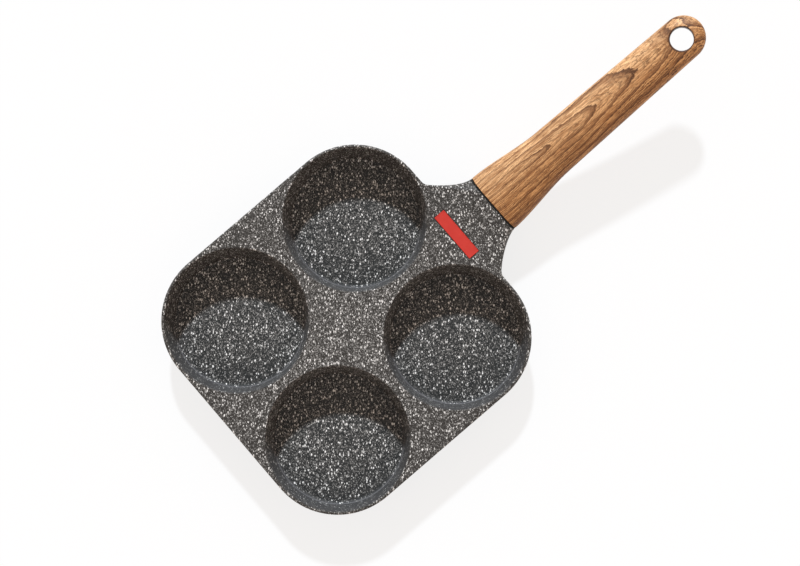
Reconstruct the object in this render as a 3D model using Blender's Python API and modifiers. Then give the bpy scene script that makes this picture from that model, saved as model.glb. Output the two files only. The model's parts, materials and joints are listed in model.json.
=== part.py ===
"""A four-hole omelette pan: a cast aluminium body with four cups, a base disc under each cup,
a moulded handle on the body's tenon, and the gasket, screw and washers that hold it.

The pan rests on its base discs at z = 0, the handle points along +X, and the origin is the
centre of the whole pan's footprint."""

import math

import bmesh
import bpy
from mathutils import Matrix, Vector

MM = 0.001
COLLECTION = "four_hole_omelette_pan"

# Cups. The rim radius is where the rounded rim runs out into the flat deck.
RIM_RADIUS = 45.0 * MM
RIM_ROUNDING = 1.6 * MM
CUP_DEPTH = 25.0 * MM
CUP_WEB = 5.2 * MM  # deck left between two rims
CUP_WALL = 2.3 * MM
CUP_FLOOR = 3.0 * MM
CUP_DRAFT = math.radians(6.5)
FLOOR_FILLET = 2.4 * MM
BASE_FILLET = 4.0 * MM  # outside, where a cup's wall turns into its base

# Deck, the plate that joins the cups
DECK_THICKNESS = 3.0 * MM
DECK_LIP = 1.2 * MM  # deck outside the rims
DECK_EDGE_ROUNDING = 1.1 * MM

# Base discs, which the pan stands on
DISC_INSET = 6.0 * MM  # from the edge of a cup's flat base to its disc
DISC_THICKNESS = 0.8 * MM
DISC_PROUD = 0.4 * MM
DISC_CHAMFER = 0.2 * MM

# Neck, from the deck's front edge to the handle
NECK_LENGTH = 24.6 * MM
NECK_ROOT_WIDTH = 72.4 * MM
NECK_ROOT_FILLET = 2.0 * MM
NECK_FLARE = 1.5  # power of the curve in plan that narrows the neck
NECK_BURY = 9.6 * MM  # how far the neck's root runs back inside the deck
NECK_PROUD = 0.05 * MM  # its top lies this much above the deck, so that they share no plane
NECK_ROOT_HEIGHT = 2.4 * MM  # the neck's height at that root
NECK_WALL = 3.2 * MM
NECK_RIB = 3.6 * MM
NECK_END_WALL = 5.0 * MM
NECK_POCKET_ROUNDING = 1.2 * MM

# Handle, measured along its own axis, which leaves the neck at this slope and droops to its end
HANDLE_SLOPE = math.radians(13.0)
HANDLE_LENGTH = 165.8 * MM
HANDLE_DROOP = 6.0 * MM
HANDLE_ROOT_WIDTH = 40.5 * MM
HANDLE_ROOT_HEIGHT = 19.0 * MM
HANDLE_FLARE_LENGTH = 48.0 * MM
HANDLE_GRIP_WIDTH = 32.6 * MM
HANDLE_GRIP_HEIGHT = 17.0 * MM
HANDLE_END_WIDTH = 27.2 * MM
HANDLE_END_HEIGHT = 14.5 * MM
HANDLE_CORNER = 0.62  # share of the half width that the rounded corners take
HANDLE_SIDE = 0.88  # share of the half height that the rounded corners take
HANDLE_END_ANGLE = math.radians(80.0)  # where the round end is cut off flat
HANDLE_END_FULLNESS = 0.35  # power of the curve that thins the round end
HANG_HOLE_RADIUS = 7.2 * MM
HANG_HOLE_FROM_END = 14.8 * MM

# Tenon of the body in the socket of the handle, and the screw that holds them
TENON_WIDTH = 24.0 * MM
TENON_LENGTH = 27.0 * MM
TENON_BURY = 3.0 * MM
TENON_TOP_WALL = 3.4 * MM  # handle left above the socket
SCREW_SEAT_WALL = 2.3 * MM  # handle left between the socket and the screw's washers
SOCKET_END_CLEARANCE = 0.5 * MM
GASKET_THICKNESS = 0.5 * MM
SCREW_FROM_NECK = 15.0 * MM
SCREW_RADIUS = 2.5 * MM
SCREW_TIP_WALL = 1.0 * MM  # tenon left above the screw's hole
HEAD_RADIUS = 4.4 * MM
HEAD_HEIGHT = 2.3 * MM
HEAD_ROUNDING = 0.8 * MM
HEAD_DEPTH = 0.5 * MM  # how far the head lies inside the handle's underside
CROSS_LENGTH = 4.6 * MM
CROSS_WIDTH = 1.1 * MM
CROSS_DEPTH = 1.3 * MM
FLAT_WASHER_RADIUS = 5.0 * MM
FLAT_WASHER_THICKNESS = 0.6 * MM
SPRING_WASHER_RADIUS = 4.4 * MM
SPRING_WASHER_THICKNESS = 1.0 * MM
SPRING_WASHER_SPLIT = 0.7 * MM
TENON_ROUNDING = 0.8 * MM

# Badge, a plain plate let into the deck in front of the neck
BADGE_LENGTH = 33.0 * MM
BADGE_WIDTH = 7.6 * MM
BADGE_THICKNESS = 1.0 * MM
BADGE_PROUD = 0.3 * MM
BADGE_ROUNDING = 0.2 * MM
BADGE_FROM_EDGE = 4.9 * MM  # its middle, behind the deck's front edge

# Clearances
SEAT_GAP = 0.3 * MM
CUTTER_OVERRUN = 2.0 * MM

# Fineness
ROUND_STEPS = 40
SMALL_ROUND_STEPS = 24
ARC_STEPS = 3
SECTION_STEPS = 5
NECK_STEPS = 7
HANDLE_FLARE_STEPS = 6
HANDLE_GRIP_STEPS = 4
HANDLE_END_STEPS = 6
ROUNDING_SEGMENTS = 2
SHARP_ANGLE = math.radians(30.0)
EDGE_ANGLE = math.radians(40.0)
MERGE_DISTANCE = 0.00001

# Levels and places worked out from the sizes above
CUP_BASE_Z = DISC_PROUD
CUP_FLOOR_Z = CUP_BASE_Z + CUP_FLOOR
DECK_Z = CUP_FLOOR_Z + CUP_DEPTH
CUP_OFFSET = RIM_RADIUS + CUP_WEB / 2
DECK_CORNER_RADIUS = RIM_RADIUS + DECK_LIP
DECK_HALF = CUP_OFFSET + DECK_CORNER_RADIUS
MOUTH_RADIUS = RIM_RADIUS - RIM_ROUNDING * math.tan(math.pi / 4 - CUP_DRAFT / 2)
JOINT_X = DECK_HALF + NECK_LENGTH
NECK_RISE = NECK_LENGTH * math.tan(HANDLE_SLOPE) / 2
JOINT_Z = DECK_Z + NECK_RISE - HANDLE_ROOT_HEIGHT / 2 * math.cos(HANDLE_SLOPE)
HANDLE_START = GASKET_THICKNESS + 2 * SEAT_GAP
HANDLE_END_X = HANDLE_START + HANDLE_LENGTH
END_ROUND_RADIUS = HANDLE_END_WIDTH / 2
END_ROUND_X = HANDLE_END_X - END_ROUND_RADIUS * math.sin(HANDLE_END_ANGLE)
HANG_HOLE_X = HANDLE_END_X - HANG_HOLE_FROM_END


def clear_scene():
    for item in list(bpy.data.objects):
        bpy.data.objects.remove(item, do_unlink=True)


def new_collection(name, parent=None):
    collection = bpy.data.collections.new(name)
    (parent or bpy.context.scene.collection).children.link(collection)
    return collection


def new_material(name, colour, roughness, metallic):
    material = bpy.data.materials.new(name)
    material.use_nodes = True
    shader = material.node_tree.nodes["Principled BSDF"]
    shader.inputs["Base Color"].default_value = (*colour, 1.0)
    shader.inputs["Roughness"].default_value = roughness
    shader.inputs["Metallic"].default_value = metallic
    return material


def add_object(name, mesh, collection, material=None):
    made = bpy.data.objects.new(name, mesh)
    collection.objects.link(made)
    if material:
        mesh.materials.append(material)
    if collection.name != PARTS.name:
        made.hide_render = True
        made.display_type = "WIRE"
    return made


def mesh_from(shape, name):
    """A mesh datablock from a bmesh, with its faces turned outwards and its round faces smooth."""
    bmesh.ops.recalc_face_normals(shape, faces=shape.faces)
    mesh = bpy.data.meshes.new(name)
    shape.to_mesh(mesh)
    shape.free()
    mesh.shade_smooth()
    mesh.set_sharp_from_angle(angle=SHARP_ANGLE)
    return mesh


def rounded_path(corners):
    """Points of a path in X and Z. Each corner is x, z and the radius of the arc that rounds it."""
    points = []
    for index, (x, z, radius) in enumerate(corners):
        corner = Vector((x, 0.0, z))
        if radius == 0.0:
            points.append(corner)
            continue
        back = (Vector((corners[index - 1][0], 0.0, corners[index - 1][1])) - corner).normalized()
        ahead = (Vector((corners[index + 1][0], 0.0, corners[index + 1][1])) - corner).normalized()
        half_angle = back.angle(ahead) / 2
        centre = corner + (back + ahead).normalized() * radius / math.sin(half_angle)
        start = (corner + back * radius / math.tan(half_angle) - centre).normalized()
        end = (corner + ahead * radius / math.tan(half_angle) - centre).normalized()
        for step in range(ARC_STEPS + 1):
            points.append(centre + start.slerp(end, step / ARC_STEPS) * radius)
    return points


def turned(name, corners, collection, material=None, closed=False, steps=ROUND_STEPS):
    """A body turned about Z from a profile that runs down its outer side."""
    shape = bmesh.new()
    points = rounded_path(corners)
    verts = [shape.verts.new(point) for point in points]
    for first, second in zip(verts, verts[1:]):
        shape.edges.new((first, second))
    if closed:
        shape.edges.new((verts[-1], verts[0]))
    bmesh.ops.remove_doubles(shape, verts=shape.verts, dist=MERGE_DISTANCE)
    mesh = bpy.data.meshes.new(name)
    shape.to_mesh(mesh)
    shape.free()
    made = add_object(name, mesh, collection, material)
    screw = made.modifiers.new("turn", "SCREW")
    screw.steps = steps
    screw.render_steps = steps
    screw.use_merge_vertices = True
    screw.merge_threshold = MERGE_DISTANCE
    screw.use_smooth_shade = True
    return made


def section(half_width, half_height, corner_width, corner_height):
    """Points (y, z) round a cross-section with elliptical corners and a flat on each side."""
    points = []
    for quarter in range(4):
        side = 1 if quarter in (0, 3) else -1
        level = 1 if quarter < 2 else -1
        for step in range(SECTION_STEPS + 1):
            angle = (quarter + step / SECTION_STEPS) * math.pi / 2
            y = side * (half_width - corner_width) + corner_width * math.cos(angle)
            z = level * (half_height - corner_height) + corner_height * math.sin(angle)
            points.append((y, z))
    return points


def lofted(name, rings, collection, material=None):
    """A closed body through rings of as many points each, capped flat at both ends."""
    shape = bmesh.new()
    loops = [[shape.verts.new(point) for point in ring] for ring in rings]
    for near, far in zip(loops, loops[1:]):
        for index in range(len(near)):
            after = (index + 1) % len(near)
            shape.faces.new((near[index], near[after], far[after], far[index]))
    shape.faces.new(loops[0])
    shape.faces.new(loops[-1])
    return add_object(name, mesh_from(shape, name), collection, material)


def block(name, low, high, collection, material=None, rounding=0.0):
    """A box between two corners, with its edges rounded."""
    shape = bmesh.new()
    bmesh.ops.create_cube(shape, size=1.0)
    size = Vector(high) - Vector(low)
    middle = (Vector(high) + Vector(low)) / 2
    bmesh.ops.scale(shape, vec=size, verts=shape.verts)
    bmesh.ops.translate(shape, vec=middle, verts=shape.verts)
    made = add_object(name, mesh_from(shape, name), collection, material)
    if rounding:
        bevel = made.modifiers.new("rounding", "BEVEL")
        bevel.width = rounding
        bevel.segments = ROUNDING_SEGMENTS
    return made


def rod(name, radius, low_z, high_z, collection, steps=SMALL_ROUND_STEPS):
    shape = bmesh.new()
    bmesh.ops.create_cone(
        shape, cap_ends=True, segments=steps, radius1=radius, radius2=radius, depth=high_z - low_z
    )
    bmesh.ops.translate(shape, vec=(0.0, 0.0, (high_z + low_z) / 2), verts=shape.verts)
    return add_object(name, mesh_from(shape, name), collection)


def combine(body, other, operation):
    """Joins or cuts a body with one object, or with all those of a collection at once."""
    boolean = body.modifiers.new(f"{operation.lower()} {other.name}", "BOOLEAN")
    boolean.operation = operation
    boolean.solver = "EXACT"
    if isinstance(other, bpy.types.Collection):
        boolean.operand_type = "COLLECTION"
        boolean.collection = other
    else:
        boolean.object = other


def smooth_step(share):
    share = min(max(share, 0.0), 1.0)
    return share * share * (3 - 2 * share)


def mix(start, end, share):
    return start + (end - start) * share


def cup_places():
    corners = ((1, 1), (-1, 1), (-1, -1), (1, -1))
    return [Vector((x * CUP_OFFSET, y * CUP_OFFSET, 0.0)) for x, y in corners]


def cup_wall_radius(z):
    """Radius of a cup's drafted inner wall at height z."""
    return MOUTH_RADIUS - (DECK_Z - z) * math.tan(CUP_DRAFT)


def cup_outer_radius(z):
    return cup_wall_radius(z) + CUP_WALL / math.cos(CUP_DRAFT)


def disc_radius():
    flat = cup_outer_radius(CUP_BASE_Z) - BASE_FILLET * math.tan(math.pi / 4 - CUP_DRAFT / 2)
    return flat - DISC_INSET


def handle_share(along):
    """How much of the root's extra width and height is left at a distance along the handle's axis."""
    return 1 - smooth_step((along - HANDLE_START) / HANDLE_FLARE_LENGTH)


def handle_half_width(along):
    taper = mix(HANDLE_GRIP_WIDTH, HANDLE_END_WIDTH, (along - HANDLE_START) / (END_ROUND_X - HANDLE_START))
    width = taper + (HANDLE_ROOT_WIDTH - HANDLE_GRIP_WIDTH) * handle_share(along)
    if along > END_ROUND_X:
        width = 2 * math.sqrt(END_ROUND_RADIUS**2 - (along - END_ROUND_X) ** 2)
    return width / 2


def handle_half_height(along):
    taper = mix(HANDLE_GRIP_HEIGHT, HANDLE_END_HEIGHT, (along - HANDLE_START) / (END_ROUND_X - HANDLE_START))
    height = taper + (HANDLE_ROOT_HEIGHT - HANDLE_GRIP_HEIGHT) * handle_share(along)
    if along > END_ROUND_X:
        left = 1 - (along - END_ROUND_X) / END_ROUND_RADIUS
        height = HANDLE_END_HEIGHT * left**HANDLE_END_FULLNESS
    return height / 2


def handle_axis_height(along):
    """The handle's middle droops below its straight axis towards its end."""
    return -HANDLE_DROOP * ((along - HANDLE_START) / HANDLE_LENGTH) ** 2


def in_handle_frame(item, along=0.0, height=0.0, tilt=0.0):
    """Places an object by its distance along the handle's straight axis and its height off it."""
    place = Matrix.Translation((JOINT_X, 0.0, JOINT_Z)) @ Matrix.Rotation(-HANDLE_SLOPE, 4, "Y")
    offset = Matrix.Translation((along, 0.0, height)) @ Matrix.Rotation(tilt, 4, "Y")
    item.matrix_local = place @ offset
    return item


def make_deck(material):
    """The deck's plate: a flat outline whose corners are concentric with the cups."""
    curve = bpy.data.curves.new("deck_outline", "CURVE")
    curve.dimensions = "2D"
    curve.fill_mode = "BOTH"
    curve.extrude = DECK_THICKNESS / 2
    steps = ROUND_STEPS // 4
    spline = curve.splines.new("POLY")
    spline.points.add(4 * (steps + 1) - 1)
    spline.use_cyclic_u = True
    for quarter, centre in enumerate(cup_places()):
        for step in range(steps + 1):
            angle = (quarter + step / steps) * math.pi / 2
            x = centre.x + DECK_CORNER_RADIUS * math.cos(angle)
            y = centre.y + DECK_CORNER_RADIUS * math.sin(angle)
            spline.points[quarter * (steps + 1) + step].co = (x, y, 0.0, 1.0)
    outline = add_object("deck_outline", curve, CUTTERS)
    outline.location.z = DECK_Z - DECK_THICKNESS / 2
    bpy.context.view_layer.update()
    evaluated = outline.evaluated_get(bpy.context.evaluated_depsgraph_get())
    shape = bmesh.new()
    shape.from_mesh(bpy.data.meshes.new_from_object(evaluated))
    shape.transform(outline.matrix_world)
    bmesh.ops.remove_doubles(shape, verts=shape.verts, dist=MERGE_DISTANCE)
    bpy.data.objects.remove(outline, do_unlink=True)
    deck = add_object("pan_body", mesh_from(shape, "pan_body"), PARTS, material)
    rounding = deck.modifiers.new("edge rounding", "BEVEL")
    rounding.width = DECK_EDGE_ROUNDING
    rounding.segments = ROUNDING_SEGMENTS
    rounding.limit_method = "ANGLE"
    rounding.angle_limit = EDGE_ANGLE
    return deck


def join_cups(body):
    """Each cup starts in the middle of the deck's thickness. Its base has a pocket for its disc."""
    top_z = DECK_Z - DECK_THICKNESS / 2
    pocket_radius = disc_radius() + SEAT_GAP
    pocket_z = DISC_THICKNESS + SEAT_GAP
    corners = [
        (0.0, top_z, 0.0),
        (cup_outer_radius(top_z), top_z, 0.0),
        (cup_outer_radius(CUP_BASE_Z), CUP_BASE_Z, BASE_FILLET),
        (pocket_radius, CUP_BASE_Z, 0.0),
        (pocket_radius, pocket_z, 0.0),
        (0.0, pocket_z, 0.0),
    ]
    for number, place in enumerate(cup_places(), start=1):
        outside = turned(f"cup_{number}_outside", corners, CUTTERS)
        outside.location = place
        combine(body, outside, "UNION")


def hollow_cups(body):
    corners = [
        (0.0, DECK_Z + CUTTER_OVERRUN, 0.0),
        (RIM_RADIUS, DECK_Z + CUTTER_OVERRUN, 0.0),
        (RIM_RADIUS, DECK_Z, 0.0),
        (MOUTH_RADIUS, DECK_Z, RIM_ROUNDING),
        (cup_wall_radius(CUP_FLOOR_Z), CUP_FLOOR_Z, FLOOR_FILLET),
        (0.0, CUP_FLOOR_Z, 0.0),
    ]
    wells = new_collection("cup_wells", CUTTERS)
    for number, place in enumerate(cup_places(), start=1):
        well = turned(f"cup_{number}_well", corners, wells)
        well.location = place
    combine(body, wells, "DIFFERENCE")


def neck_half_width(x):
    """Half the neck's width in plan, with a fillet where it leaves the deck's front edge."""
    out = max(x - DECK_HALF, 0.0)
    left = max(1 - out / NECK_LENGTH, 0.0)
    half_width = mix(HANDLE_ROOT_WIDTH, NECK_ROOT_WIDTH, left**NECK_FLARE) / 2
    near = 1 - min(out / NECK_ROOT_FILLET, 1.0)
    return half_width + NECK_ROOT_FILLET * (1 - math.sqrt(1 - near * near))


def neck_height(x):
    grown = smooth_step((x - DECK_HALF + NECK_BURY) / (NECK_LENGTH + NECK_BURY))
    return mix(NECK_ROOT_HEIGHT, HANDLE_ROOT_HEIGHT, grown)


def neck_ring(x, outline, middle_y=0.0, middle_height=0.0):
    """Points round the neck at distance x from the pan's centre. Its top rises to the handle's slope."""
    share = max(x - DECK_HALF, 0.0) / NECK_LENGTH
    tilt = HANDLE_SLOPE * share
    up = Vector((-math.sin(tilt), 0.0, math.cos(tilt)))
    top_z = DECK_Z + NECK_PROUD * (1 - share) + NECK_RISE * share * share
    middle_z = top_z - neck_height(x) / 2 * math.cos(tilt)
    middle = Vector((x, middle_y, middle_z)) + up * middle_height
    return [middle + Vector((0.0, y, 0.0)) + up * z for y, z in outline]


def join_neck(body):
    """The neck is lofted from a thin root inside the deck to the handle's section."""
    rings = []
    places = [DECK_HALF - NECK_BURY]
    places += [DECK_HALF + NECK_LENGTH * (step / NECK_STEPS) ** 2 for step in range(NECK_STEPS + 1)]
    for x in places:
        share = max(x - DECK_HALF, 0.0) / NECK_LENGTH
        corner_width = mix(DECK_EDGE_ROUNDING, HANDLE_ROOT_WIDTH / 2 * HANDLE_CORNER, share * share)
        corner_height = mix(DECK_EDGE_ROUNDING, HANDLE_ROOT_HEIGHT / 2 * HANDLE_SIDE, share * share)
        rings.append(
            neck_ring(x, section(neck_half_width(x), neck_height(x) / 2, corner_width, corner_height))
        )
    combine(body, lofted("neck_outside", rings, CUTTERS), "UNION")
    start = Vector((-TENON_BURY, -TENON_WIDTH / 2, tenon_low()))
    end = Vector((TENON_LENGTH, TENON_WIDTH / 2, tenon_high()))
    tenon = in_handle_frame(block("tenon", start, end, CUTTERS, rounding=TENON_ROUNDING))
    combine(body, tenon, "UNION")


def hollow_neck(body):
    """Two pockets under the neck leave its top, its sides, a middle rib and the end wall."""
    first = DECK_HALF + NECK_WALL
    last = JOINT_X - NECK_END_WALL
    for side, label in ((1, "left"), (-1, "right")):
        rings = []
        for step in range(NECK_STEPS + 1):
            x = mix(first, last, step / NECK_STEPS)
            width = neck_half_width(x) - NECK_WALL - NECK_RIB / 2
            depth = neck_height(x) - NECK_WALL + CUTTER_OVERRUN
            outline = section(width / 2, depth / 2, NECK_POCKET_ROUNDING, NECK_POCKET_ROUNDING)
            middle_y = side * (NECK_RIB + width) / 2
            middle_height = -(NECK_WALL + CUTTER_OVERRUN) / 2
            rings.append(neck_ring(x, outline, middle_y, middle_height))
        combine(body, lofted(f"neck_pocket_{label}", rings, CUTTERS), "DIFFERENCE")


def screw_head_low():
    """Height of the screw head's outer face off the handle's axis."""
    along = SCREW_FROM_NECK
    return handle_axis_height(along) - handle_half_height(along) + HEAD_DEPTH


def spring_washer_low():
    return screw_head_low() + HEAD_HEIGHT + SEAT_GAP


def flat_washer_low():
    return spring_washer_low() + SPRING_WASHER_THICKNESS + SEAT_GAP


def screw_seat():
    """Height of the handle's face that the washers clamp."""
    return flat_washer_low() + FLAT_WASHER_THICKNESS + SEAT_GAP


def tenon_low():
    return screw_seat() + SCREW_SEAT_WALL + SEAT_GAP


def tenon_high():
    return HANDLE_ROOT_HEIGHT / 2 - TENON_TOP_WALL - SEAT_GAP


def screw_tip():
    return tenon_high() - SCREW_TIP_WALL - SEAT_GAP


def cut_screw_hole(body):
    low_z = tenon_low() - CUTTER_OVERRUN
    hole = rod("screw_hole", SCREW_RADIUS + SEAT_GAP, low_z, screw_tip() + SEAT_GAP, CUTTERS)
    combine(body, in_handle_frame(hole, along=SCREW_FROM_NECK), "DIFFERENCE")


def badge_corners(growth, low_z, high_z):
    middle_x = DECK_HALF - BADGE_FROM_EDGE
    half = Vector((BADGE_WIDTH / 2 + growth, BADGE_LENGTH / 2 + growth))
    return (middle_x - half.x, -half.y, low_z), (middle_x + half.x, half.y, high_z)


def make_badge(body, material):
    low_z = DECK_Z + BADGE_PROUD - BADGE_THICKNESS
    recess_corners = badge_corners(SEAT_GAP, low_z - SEAT_GAP, DECK_Z + CUTTER_OVERRUN)
    recess = block("badge_recess", *recess_corners, CUTTERS)
    combine(body, recess, "DIFFERENCE")
    corners = badge_corners(0.0, low_z, DECK_Z + BADGE_PROUD)
    return block("badge", *corners, PARTS, material, rounding=BADGE_ROUNDING)


def make_base_discs(material):
    radius = disc_radius()
    corners = [
        (0.0, DISC_THICKNESS, 0.0),
        (radius, DISC_THICKNESS, 0.0),
        (radius, DISC_CHAMFER, 0.0),
        (radius - DISC_CHAMFER, 0.0, 0.0),
        (0.0, 0.0, 0.0),
    ]
    for number, place in enumerate(cup_places(), start=1):
        disc = turned(f"base_disc_{number}", corners, PARTS, material)
        disc.location = place


def handle_section(along):
    half_width = handle_half_width(along)
    half_height = handle_half_height(along)
    return section(half_width, half_height, half_width * HANDLE_CORNER, half_height * HANDLE_SIDE)


def handle_stations():
    """Distances along the handle's axis, close together where its outline turns."""
    flare_end = HANDLE_START + HANDLE_FLARE_LENGTH
    flare = [mix(HANDLE_START, flare_end, step / HANDLE_FLARE_STEPS) for step in range(HANDLE_FLARE_STEPS)]
    grip = [mix(flare_end, END_ROUND_X, step / HANDLE_GRIP_STEPS) for step in range(HANDLE_GRIP_STEPS)]
    turn = [HANDLE_END_ANGLE * step / HANDLE_END_STEPS for step in range(HANDLE_END_STEPS + 1)]
    return flare + grip + [END_ROUND_X + END_ROUND_RADIUS * math.sin(angle) for angle in turn]


def make_handle(material):
    rings = []
    for along in handle_stations():
        height = handle_axis_height(along)
        rings.append([Vector((along, y, height + z)) for y, z in handle_section(along)])
    handle = in_handle_frame(lofted("handle", rings, PARTS, material))
    combine(handle, make_socket(-CUTTER_OVERRUN, SOCKET_END_CLEARANCE, "socket"), "DIFFERENCE")
    low_z = screw_head_low() - HEAD_DEPTH - CUTTER_OVERRUN
    for name, radius, high_z in (
        ("washer_recess", FLAT_WASHER_RADIUS + SEAT_GAP, screw_seat()),
        ("screw_clearance", SCREW_RADIUS + SEAT_GAP, tenon_low()),
    ):
        cutter = in_handle_frame(rod(name, radius, low_z, high_z, CUTTERS), along=SCREW_FROM_NECK)
        combine(handle, cutter, "DIFFERENCE")
    droop_angle = math.atan(2 * HANDLE_DROOP * (HANG_HOLE_X - HANDLE_START) / HANDLE_LENGTH**2)
    reach = HANDLE_END_HEIGHT
    hole = rod("hang_hole", HANG_HOLE_RADIUS, -reach, reach, CUTTERS, steps=ROUND_STEPS)
    in_handle_frame(hole, HANG_HOLE_X, handle_axis_height(HANG_HOLE_X), droop_angle)
    combine(handle, hole, "DIFFERENCE")
    return handle


def make_socket(start, end_clearance, name):
    """A box round the tenon with the seat gap on its sides."""
    low = (start, -TENON_WIDTH / 2 - SEAT_GAP, tenon_low() - SEAT_GAP)
    high = (TENON_LENGTH + end_clearance, TENON_WIDTH / 2 + SEAT_GAP, tenon_high() + SEAT_GAP)
    return in_handle_frame(block(name, low, high, CUTTERS))


def make_gasket(material):
    """A thin plate between the neck and the handle, with the tenon passing through it."""
    outline = handle_section(HANDLE_START)
    rings = [[Vector((along, y, z)) for y, z in outline] for along in (SEAT_GAP, SEAT_GAP + GASKET_THICKNESS)]
    gasket = in_handle_frame(lofted("handle_gasket", rings, PARTS, material))
    combine(gasket, make_socket(-CUTTER_OVERRUN, 0.0, "gasket_window"), "DIFFERENCE")
    return gasket


def make_screw(material):
    """Pan-head screw seen from below, turned about Z with its head down."""
    low_z = screw_head_low()
    corners = [
        (0.0, screw_tip(), 0.0),
        (SCREW_RADIUS, screw_tip(), 0.0),
        (SCREW_RADIUS, low_z + HEAD_HEIGHT, 0.0),
        (HEAD_RADIUS, low_z + HEAD_HEIGHT, 0.0),
        (HEAD_RADIUS, low_z, HEAD_ROUNDING),
        (0.0, low_z, 0.0),
    ]
    screw = turned("handle_screw", corners, PARTS, material, steps=SMALL_ROUND_STEPS)
    in_handle_frame(screw, along=SCREW_FROM_NECK)
    half_length = CROSS_LENGTH / 2
    half_width = CROSS_WIDTH / 2
    for label, x, y in (("along", half_length, half_width), ("across", half_width, half_length)):
        slot = block(f"cross_{label}", (-x, -y, low_z - CUTTER_OVERRUN), (x, y, low_z + CROSS_DEPTH), CUTTERS)
        combine(screw, in_handle_frame(slot, along=SCREW_FROM_NECK), "DIFFERENCE")
    return screw


def make_washer(name, radius, thickness, low_z, material):
    bore = SCREW_RADIUS + SEAT_GAP
    corners = [
        (radius, low_z + thickness, 0.0),
        (radius, low_z, 0.0),
        (bore, low_z, 0.0),
        (bore, low_z + thickness, 0.0),
    ]
    washer = turned(name, corners, PARTS, material, closed=True, steps=SMALL_ROUND_STEPS)
    return in_handle_frame(washer, along=SCREW_FROM_NECK)


def make_washers(material):
    low_z = spring_washer_low()
    high_z = low_z + SPRING_WASHER_THICKNESS
    spring = make_washer("spring_washer", SPRING_WASHER_RADIUS, SPRING_WASHER_THICKNESS, low_z, material)
    half = SPRING_WASHER_SPLIT / 2
    split_low = (0.0, -half, low_z - CUTTER_OVERRUN)
    split_high = (SPRING_WASHER_RADIUS + CUTTER_OVERRUN, half, high_z + CUTTER_OVERRUN)
    split = block("washer_split", split_low, split_high, CUTTERS)
    combine(spring, in_handle_frame(split, along=SCREW_FROM_NECK), "DIFFERENCE")
    make_washer("flat_washer", FLAT_WASHER_RADIUS, FLAT_WASHER_THICKNESS, flat_washer_low(), material)


def centre_on_footprint():
    """Puts the whole pan's middle over the origin. The pan's own centre stays as an empty."""
    bpy.context.view_layer.update()
    graph = bpy.context.evaluated_depsgraph_get()
    reach = []
    for item in PARTS.objects:
        evaluated = item.evaluated_get(graph)
        reach += [(evaluated.matrix_world @ vertex.co).x for vertex in evaluated.data.vertices]
    pan_centre = bpy.data.objects.new("pan_centre", None)
    pan_centre.empty_display_size = RIM_RADIUS
    pan_centre.location.x = -(min(reach) + max(reach)) / 2
    for item in list(PARTS.objects) + list(CUTTERS.all_objects):
        item.parent = pan_centre
    PARTS.objects.link(pan_centre)
    bpy.context.view_layer.update()


clear_scene()
PARTS = new_collection(COLLECTION)
CUTTERS = new_collection("cutters")
COATING = new_material("speckled_coating", (0.085, 0.08, 0.075), 0.55, 0.0)
INDUCTION_STEEL = new_material("induction_steel", (0.55, 0.54, 0.52), 0.35, 1.0)
WOOD_LOOK = new_material("wood_grain_phenolic", (0.45, 0.2, 0.08), 0.45, 0.0)
BLACK_RUBBER = new_material("black_gasket", (0.012, 0.012, 0.012), 0.6, 0.0)
ZINC_STEEL = new_material("zinc_plated_steel", (0.6, 0.6, 0.58), 0.3, 1.0)
RED_ENAMEL = new_material("red_badge", (0.63, 0.06, 0.05), 0.4, 0.0)

pan_body = make_deck(COATING)
join_cups(pan_body)
join_neck(pan_body)
hollow_cups(pan_body)
hollow_neck(pan_body)
cut_screw_hole(pan_body)
make_badge(pan_body, RED_ENAMEL)
make_base_discs(INDUCTION_STEEL)
make_gasket(BLACK_RUBBER)
make_handle(WOOD_LOOK)
make_screw(ZINC_STEEL)
make_washers(ZINC_STEEL)
centre_on_footprint()
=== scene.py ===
import json
from functools import reduce
from math import atan, atan2, cos, hypot, pi, radians, sin, sqrt, tan

import bmesh
import bpy
from mathutils import Matrix, Vector


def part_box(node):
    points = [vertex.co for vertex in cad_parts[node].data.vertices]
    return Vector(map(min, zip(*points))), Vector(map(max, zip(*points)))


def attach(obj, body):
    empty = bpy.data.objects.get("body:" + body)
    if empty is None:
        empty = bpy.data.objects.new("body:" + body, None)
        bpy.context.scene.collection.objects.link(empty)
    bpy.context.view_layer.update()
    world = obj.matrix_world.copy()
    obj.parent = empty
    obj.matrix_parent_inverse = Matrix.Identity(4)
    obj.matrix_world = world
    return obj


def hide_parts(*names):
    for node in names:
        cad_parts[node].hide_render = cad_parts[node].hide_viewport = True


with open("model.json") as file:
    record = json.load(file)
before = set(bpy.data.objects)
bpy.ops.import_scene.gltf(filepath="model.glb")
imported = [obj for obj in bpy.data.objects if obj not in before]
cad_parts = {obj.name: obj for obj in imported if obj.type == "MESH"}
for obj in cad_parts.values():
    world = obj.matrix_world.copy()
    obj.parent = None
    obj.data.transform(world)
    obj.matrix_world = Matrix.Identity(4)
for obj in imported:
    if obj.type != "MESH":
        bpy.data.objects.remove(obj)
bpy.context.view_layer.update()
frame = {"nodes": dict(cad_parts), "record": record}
print("frame loaded with", len(frame["nodes"]), "nodes")

# The shapes are worked in millimetres about the pan's own centre and go into the frame at the end.
mm = 0.001
weldWithin = 0.002
lastWeldWithin = 0.0005


def middleOf(node):
    low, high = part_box(node)
    return (low + high) / 2


panX = (middleOf("base_disc_1").x + middleOf("base_disc_3").x) / 2
cupOffset = (middleOf("base_disc_1").x - panX) / mm
deckMount = next(mount for mount in frame["record"]["mounts"] if mount["name"] == "deck_top")
deckTop = deckMount["pos_m"][2] / mm


def newShape():
    shape = bmesh.new()
    shape.verts.layers.int.new("number")
    return shape


def weld(shape):
    bmesh.ops.remove_doubles(shape, verts=shape.verts, dist=weldWithin)


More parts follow.
